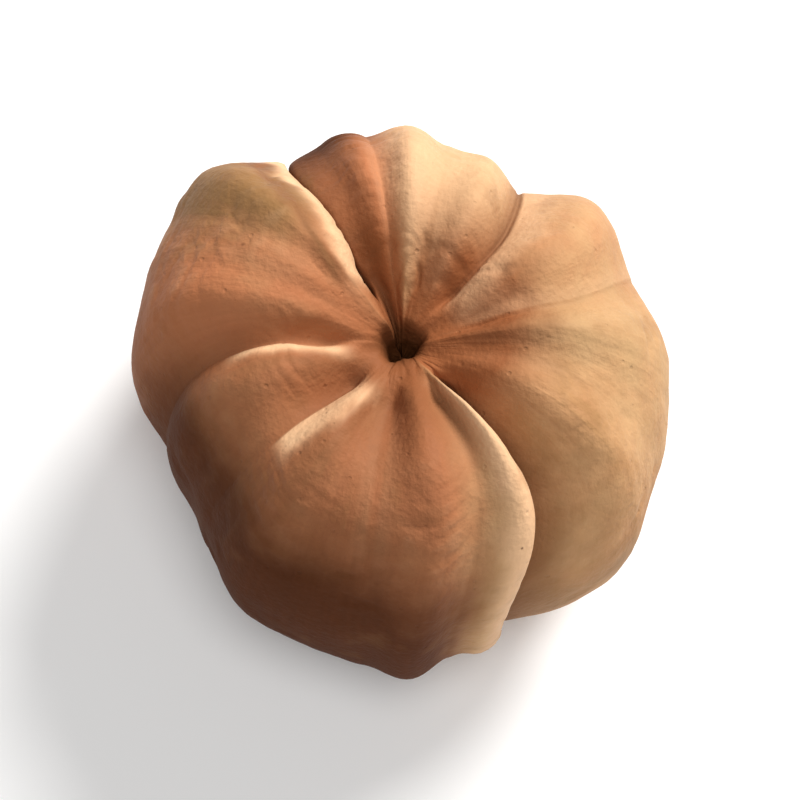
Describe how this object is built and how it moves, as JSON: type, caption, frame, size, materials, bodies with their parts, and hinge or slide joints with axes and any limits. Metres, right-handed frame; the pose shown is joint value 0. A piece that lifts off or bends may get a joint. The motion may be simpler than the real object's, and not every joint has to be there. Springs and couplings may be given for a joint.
{
  "type": "putka pod",
  "caption": "Dried ribbed seed pod shaped like a tiny squat pumpkin, with uneven rounded lobes, a crown dimple and a small centre hole.",
  "frame": {"origin": "on the surface that the pod stands on, under the middle of its outline", "axes": "+Z along the pod's own axis, crown up; +Y away from the viewer of the picture; the pod is the same height all round, so X and Y are only fixed by its uneven lobes"},
  "size_m": [0.0202, 0.0208, 0.015],
  "materials": {
    "husk": "dry, faintly satin plant husk, tan to terracotta"
  },
  "bodies": {
    "root": {"pod": "husk"}
  },
  "joints": []
}
